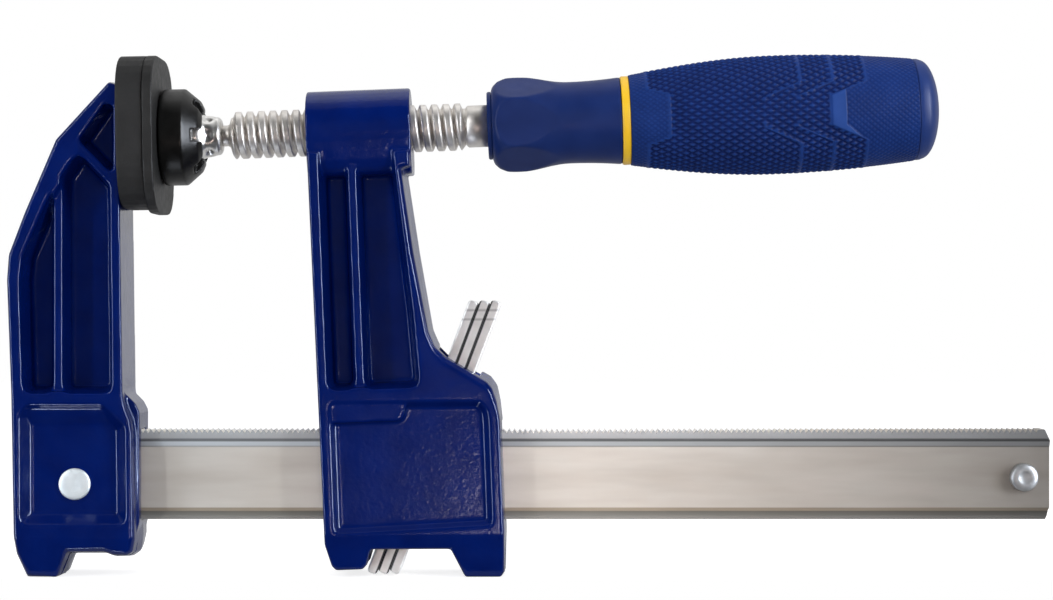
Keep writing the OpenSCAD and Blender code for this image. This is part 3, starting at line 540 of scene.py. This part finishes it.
collar_profile = (
    [(BALL_U - 5.1, 0.01)]
    + [
        (BALL_U + BALL_R * math.sin(math.radians(a)), BALL_R * math.cos(math.radians(a)))
        for a in np.linspace(-53, 28, 24)
    ]
    + [(u, COLLAR_R + 0.2 - 0.02 * k) for k, u in enumerate(np.linspace(BALL_U + 3.3, COLLAR_END - 1.1, 16))]
    + [(COLLAR_END - 0.8, COLLAR_R - 0.25), (COLLAR_END - 0.4, COLLAR_R - 0.7)]
    + [(COLLAR_END - 0.1, COLLAR_R - 1.3), (COLLAR_END, COLLAR_R - 2), (COLLAR_END, NECK_R + 0.1)]
    + [(COLLAR_END - 3, NECK_R + 0.1), (COLLAR_END - 3, 0.01)]
)
collar = turned("swivel_collar", collar_profile, 144, crimped)
stand_in(collar, "swivel_ball", collar_steel)

for node, name, material, slot, voxel, rounds, ease in (
    ("pad_socket", "swivel_socket", hub_plastic, "socket_plastic", MOULD_VOXEL, 3, 0.04),
    ("pad_plate", "pad_base_plate", pad_plastic, "pad_plastic", MOULD_VOXEL, 2, 0),
    ("pad_face", "pad_rubber_face", pad_rubber, "pad_rubber", MOULD_VOXEL, 1, 0),
    ("handle_core", "handle_front", front_plastic, "front_plastic", CAST_VOXEL, 10, 0),
):
    stand_in(softened(node, name, voxel, rounds, ease=ease), node, material)

# The sides that face another plate are moved out, so that only a narrow gap is left between plates
for k, sides in ((1, (1,)), (2, (-1, 1)), (3, (-1,))):
    plate = softened(f"clutch_plate_{k}", f"clutch_lever_{k}", MOULD_VOXEL, 3)
    facing = Vector((math.cos(PLATE_LEAN), 0, -math.sin(PLATE_LEAN)))
    centre = Vector(((PLATE_X + (k - 2) * PLATE_PITCH / math.cos(PLATE_LEAN)) * MM, 0, BAR_MID * MM))
    for vertex in plate.data.vertices:
        for side in sides:
            if (vertex.co - centre).dot(facing) * side > PLATE_SIDE * MM:
                vertex.co += facing * side * PLATE_FILL * MM
    stand_in(plate, f"clutch_plate_{k}", plate_steel)


# ---------- handle ----------


# Places of the borders along the axis, and heights of the texture, in millimetres
FRONT_BORDER_U, REAR_BORDER_U = 70.4, 111.5
CHEVRON_STEP = 8.4
COARSE_DEPTH = 0.55
FINE_DROP, FINE_DEPTH = 0.12, 0.16
PATCH_RISE = 0.13
GRIP_ROWS, GRIP_COLUMNS = 372, 480


def grip_radius(u):
    """The grip's outer radius in the CAD source."""
    t = (u - RING_U1) / (GRIP_U1 - RING_U1)
    swell = GRIP_START_R + (GRIP_R - GRIP_START_R) * np.sin(math.pi / 2 * np.clip(t / 0.5, 0, 1))
    fall = GRIP_R - GRIP_FALL * np.clip((t - 0.5) / 0.5, 0, 1) ** 2
    return np.where(t < 0.5, swell, fall)


def diamonds(u, angle, pitch_u, count, sharp):
    """A lattice of raised scales, from 0 in the valleys to 1 on the crests."""
    across = u / pitch_u
    around = angle * count / (2 * math.pi)
    one = np.abs((across + around) % 1.0 - 0.5) * 2
    two = np.abs((across - around) % 1.0 - 0.5) * 2
    valley = np.minimum(one, two)
    return 1 - np.exp(-((valley / sharp) ** 2))


def line(distance, width):
    """1 on a line, and 0 away from it."""
    return np.exp(-((distance / width) ** 2))


def grip_shape(u, angle, r):
    """The grip's moulded texture: fine diamonds at both ends, coarse scales between them, chevron lines."""
    # Height above or below the middle of the nearer side, front and back alike
    side = np.abs(np.sin(angle)) * np.sign(np.sin(angle))
    height = GRIP_R * side
    up = np.maximum(height, 0)
    down = np.maximum(-height, 0)
    # The coarse panel ends in a chevron at the rear, and with slanted corners at the front
    rear_edge = REAR_BORDER_U + np.where(
        height > 0,
        np.clip((up - 3.6) * 2.4, 0, 9.5),
        np.clip((down - 4.2) * 2.1, 0, 9.5),
    )
    patch = (u > REAR_BORDER_U - 0.1) & (u < 115.8 + np.clip(down - 4.2, 0, 4) * 1.1) & (u > rear_edge)
    patch &= (up < 5.4) & (down < 8.2)
    front_edge = FRONT_BORDER_U - np.clip((np.abs(height) - 6.6) * 2.2, 0, 5.6)
    coarse = (u > front_edge) & (u < rear_edge)
    fine = ~coarse & ~patch
    scale = diamonds(u, angle, 3.1, 48, 0.55)
    small = diamonds(u, angle, 1.66, 62, 0.5)
    drop = np.where(coarse, COARSE_DEPTH * (1 - scale), 0.0)
    drop = drop + np.where(fine, FINE_DROP + FINE_DEPTH * (1 - small), 0.0)
    drop = np.where(patch, -PATCH_RISE, drop)
    # Ridges along the front panel's end and along the rear border
    smooth_line = np.maximum(line(u - front_edge, 0.42), line(u - rear_edge - 0.2, 0.42))
    # Two more chevrons ahead of the rear border, open in the middle of the side
    for back_by in (CHEVRON_STEP, 2 * CHEVRON_STEP):
        chevron = line(u - (rear_edge - back_by), 0.55) * np.clip((np.abs(height) - 2) / 2.5, 0, 1)
        smooth_line = np.maximum(smooth_line, chevron)
    drop = drop * (1 - smooth_line) + 0.02 * smooth_line
    ends = np.clip((u - RING_U1) / 0.5, 0, 1) * np.clip((GRIP_U1 - u) / 0.5, 0, 1)
    return r - 0.03 - drop * ends - 0.25 * (1 - ends)


grip_u = np.linspace(RING_U1 + 0.02, GRIP_U1, GRIP_ROWS)
grip_profile = (
    [(RING_U1 + 0.02, CORE_R + 0.05)]
    + [(u, float(grip_radius(u))) for u in grip_u]
    + [(GRIP_U1, CORE_R + 0.05)]
)


def grip_skin(u, angle, r):
    """The texture on all rows but the first and last, which close the grip's ends."""
    textured = grip_shape(u, angle, r)
    textured[0], textured[-1] = r[0], r[-1]
    return textured


grip = turned("textured_grip", grip_profile, GRIP_COLUMNS, grip_skin)
stand_in(grip, "handle_grip", grip_rubber)

cap_r = float(grip_radius(GRIP_U1)) - 0.3
cap_profile = (
    [(GRIP_U1 - 5.9, 0.01), (GRIP_U1 - 5.9, 3.6), (GRIP_U1 - 5.5, 4.0), (GRIP_U1 + 0.04, 4.0)]
    + [(GRIP_U1 + 0.04, cap_r - 0.4), (GRIP_U1 + 0.2, cap_r - 0.1), (GRIP_U1 + 0.5, cap_r)]
    + [(GRIP_U1 + 1.2, cap_r - 0.05)]
    + [
        (GRIP_U1 + 1.6 + (CAP_U1 - GRIP_U1 - 1.6) * math.sin(a), (cap_r - 0.3) * math.cos(a))
        for a in np.linspace(0.08, math.pi / 2 - 0.01, 22)
    ]
)
cap = turned("domed_cap", cap_profile, 128)
stand_in(cap, "handle_end_cap", cap_plastic)

ring_profile = [
    (FRONT_U1 + 0.03, CORE_R + 0.1), (FRONT_U1 + 0.03, RING_R - 0.3), (FRONT_U1 + 0.12, RING_R - 0.14),
    (FRONT_U1 + 0.4, RING_R), (RING_U1 - 0.25, RING_R), (RING_U1 - 0.05, RING_R - 0.15),
    (RING_U1 - 0.03, CORE_R + 0.1),
]
ring = turned("yellow_ring", ring_profile, 128)
stand_in(ring, "accent_ring", ring_plastic)


# ---------- rivet and stop pin ----------


def cross_pin(name, node, material, x, z, shank_r, head_r, seat, height, dimple, crown):
    """A pin through the bar, with heads that are rounded by crown and carry a shallow ring mark."""

    def place(u, r, angle):
        return ((x + r * np.cos(angle)) * MM, u * MM, (z + r * np.sin(angle)) * MM)

    def head(side):
        top = seat + height
        points = [(top - dimple, 0.01), (top - dimple, head_r * 0.28), (top - dimple * 0.2, head_r * 0.42)]
        points += [(top, head_r * 0.55), (top - 0.08 * crown, head_r * 0.7)]
        points += [(top - 0.45 * crown, head_r * 0.9), (top - crown, head_r)]
        points += [(seat, head_r), (seat, shank_r)]
        return [(side * u, r) for u, r in points]

    profile = head(-1) + head(1)[::-1]
    obj = turned(name, profile, 64, place=place)
    return stand_in(obj, node, material)


cross_pin(
    "fixed_jaw_rivet", "jaw_rivet", zinc, x=HEEL_X + 17.8, z=BAR_MID - 2.2,
    shank_r=3, head_r=4.1, seat=8.13, height=1, dimple=0.05, crown=0.25,
)
cross_pin(
    "bar_stop_pin", "end_stop_pin", stop_steel, x=BAR_END_X - 6.9, z=BAR_MID - 0.8,
    shank_r=2.2, head_r=3.6, seat=2.73, height=2.8, dimple=0.3, crown=0.65,
)


# ---------- finishes of the CAD nodes that stay ----------

for node, material in (
    ("bar", bar_steel),
    ("clutch_spring", spring_steel),
    ("socket_snap_ring", spring_steel),
    ("handle_roll_pin", spring_steel),
    ("handle_washer", front_plastic),
):
    nodes[node].data.materials.clear()
    nodes[node].data.materials.append(material)


# ---------- studio ----------


# Metres
FLOOR_SIDE, FLOOR_BACK = 1.2, 1.5
# The floor ends just in front of the castings, so that the lamps below its level reach the clamp's front
FLOOR_FRONT = -0.013
# Keeps the floor clear of the feet that stand on it
FLOOR_DROP = 0.0001
# What the floor adds to its own light for the camera, and for reflections and glass
FLOOR_GLOW, FLOOR_MIRRORED = 0.8, 0.2


def gloss_or_glass(tree, path):
    """1 for rays that come from a reflection or through glass."""
    return math_node(tree, "MAXIMUM", path.outputs["Is Glossy Ray"], path.outputs["Is Transmission Ray"])


def stage_material():
    """Pale floor that shows as white and keeps the clamp's shadow."""
    material, tree, shader = new_material("floor")
    shader.inputs["Base Color"].default_value = (0.55, 0.55, 0.55, 1)
    shader.inputs["Roughness"].default_value = 0.9
    shader.inputs["Specular IOR Level"].default_value = 0.0
    path = tree.nodes.new("ShaderNodeLightPath")
    glow = tree.nodes.new("ShaderNodeEmission")
    mirrored = math_node(tree, "MULTIPLY", gloss_or_glass(tree, path), FLOOR_MIRRORED)
    total = math_node(tree, "MULTIPLY_ADD", path.outputs["Is Camera Ray"], FLOOR_GLOW, mirrored)
    tree.links.new(total, glow.inputs["Strength"])
    add = tree.nodes.new("ShaderNodeAddShader")
    tree.links.new(shader.outputs[0], add.inputs[0])
    tree.links.new(glow.outputs[0], add.inputs[1])
    tree.links.new(add.outputs[0], tree.nodes["Material Output"].inputs["Surface"])
    return material


floor_mesh = bpy.data.meshes.new("floor")
floor_corners = [
    (-FLOOR_SIDE, FLOOR_FRONT, 0), (FLOOR_SIDE, FLOOR_FRONT, 0),
    (FLOOR_SIDE, FLOOR_BACK, 0), (-FLOOR_SIDE, FLOOR_BACK, 0),
]
floor_mesh.from_pydata(floor_corners, [], [(0, 1, 2, 3)])
floor = link("floor", floor_mesh)
floor.location.z = -FLOOR_DROP
floor.data.materials.append(stage_material())

world = bpy.data.worlds.new("studio")
bpy.context.scene.world = world
world.use_nodes = True
tree = world.node_tree
shown = tree.nodes["Background"]
shown.inputs["Color"].default_value = (1, 1, 1, 1)
shown.inputs["Strength"].default_value = 1.0
# Seen in gloss, the room is brightest behind the clamp and dim in front of it
where = tree.nodes.new("ShaderNodeTexCoord")
split = tree.nodes.new("ShaderNodeSeparateXYZ")
tree.links.new(where.outputs["Generated"], split.inputs[0])
toward_back = spread(tree, split.outputs["Y"], 0.02, 0.7, -0.1, 0.75)
mirrored = tree.nodes.new("ShaderNodeBackground")
mirrored.inputs["Color"].default_value = (1, 1, 1, 1)
tree.links.new(toward_back, mirrored.inputs["Strength"])
ambient = tree.nodes.new("ShaderNodeBackground")
ambient.inputs["Color"].default_value = (0.97, 0.98, 1, 1)
ambient.inputs["Strength"].default_value = 0.42
path = tree.nodes.new("ShaderNodeLightPath")
first = tree.nodes.new("ShaderNodeMixShader")
tree.links.new(gloss_or_glass(tree, path), first.inputs[0])
tree.links.new(ambient.outputs[0], first.inputs[1])
tree.links.new(mirrored.outputs[0], first.inputs[2])
second = tree.nodes.new("ShaderNodeMixShader")
tree.links.new(path.outputs["Is Camera Ray"], second.inputs[0])
tree.links.new(first.outputs[0], second.inputs[1])
tree.links.new(shown.outputs[0], second.inputs[2])
tree.links.new(second.outputs[0], tree.nodes["World Output"].inputs["Surface"])


def softbox(name, place, target, width, height, watts):
    """A rectangular lamp that faces its target and isn't seen by the camera."""
    light = bpy.data.lights.new(name, "AREA")
    light.shape = "RECTANGLE"
    light.size, light.size_y = width, height
    light.energy = watts
    obj = bpy.data.objects.new(name, light)
    bpy.context.scene.collection.objects.link(obj)
    obj.location = place
    obj.rotation_euler = (Vector(target) - Vector(place)).to_track_quat("-Z", "Y").to_euler()
    obj.visible_camera = False
    return obj


middle = (0, 0, 0.07)
# Overhead light in three sizes, so that its reflection fades towards its edge
for name, width, depth, watts in (
    ("top_1", 0.6, 0.35, 0.7),
    ("top_2", 0.95, 0.65, 1.1),
    ("top_3", 1.4, 1.1, 1.8),
):
    softbox(name, (0.0, 0.15, 0.9), middle, width, depth, watts)
softbox("left", (-0.75, -0.7, 0.5), middle, 0.05, 0.5, 2.8)
softbox("right", (0.8, -0.65, 0.35), middle, 0.05, 0.7, 3.4)
low = softbox("low", (0.04, -0.85, -0.085), (0.02, 0, 0.02), 0.07, 0.05, 0.45)
low.data.color = (1, 0.8, 0.74)
# Glints on edges, thread and steel, which show in reflections and light nothing else
for name, place, width, height, watts in (
    ("right_glint", (0.92, -0.42, 0.25), 0.17, 0.8, 18.0),
    ("left_glint", (-0.85, -0.5, -0.02), 0.14, 0.5, 4.6),
    ("jaw_glint", (-0.24, -0.17, -0.5), 0.1, 0.08, 0.5),
):
    glint = softbox(name, place, middle, width, height, watts)
    glint.visible_diffuse = False
    glint.data.color = (0.84, 0.9, 1)
# Fill that lights the pockets' floors and leaves no reflection
fill = softbox("fill", (0.05, -1.3, 0.35), middle, 0.9, 0.6, 2.8)
fill.visible_glossy = False

camera_data = bpy.data.cameras.new("camera")
camera_data.lens = 84.43
camera_data.sensor_width = 36
camera_data.clip_start, camera_data.clip_end = 0.01, 50
camera = bpy.data.objects.new("camera", camera_data)
bpy.context.scene.collection.objects.link(camera)
camera.location = (-0.000921, -0.650, 0.071854)
camera.rotation_euler = (math.radians(90), 0, 0)
bpy.context.scene.camera = camera
bpy.context.scene.view_settings.view_transform = "Standard"
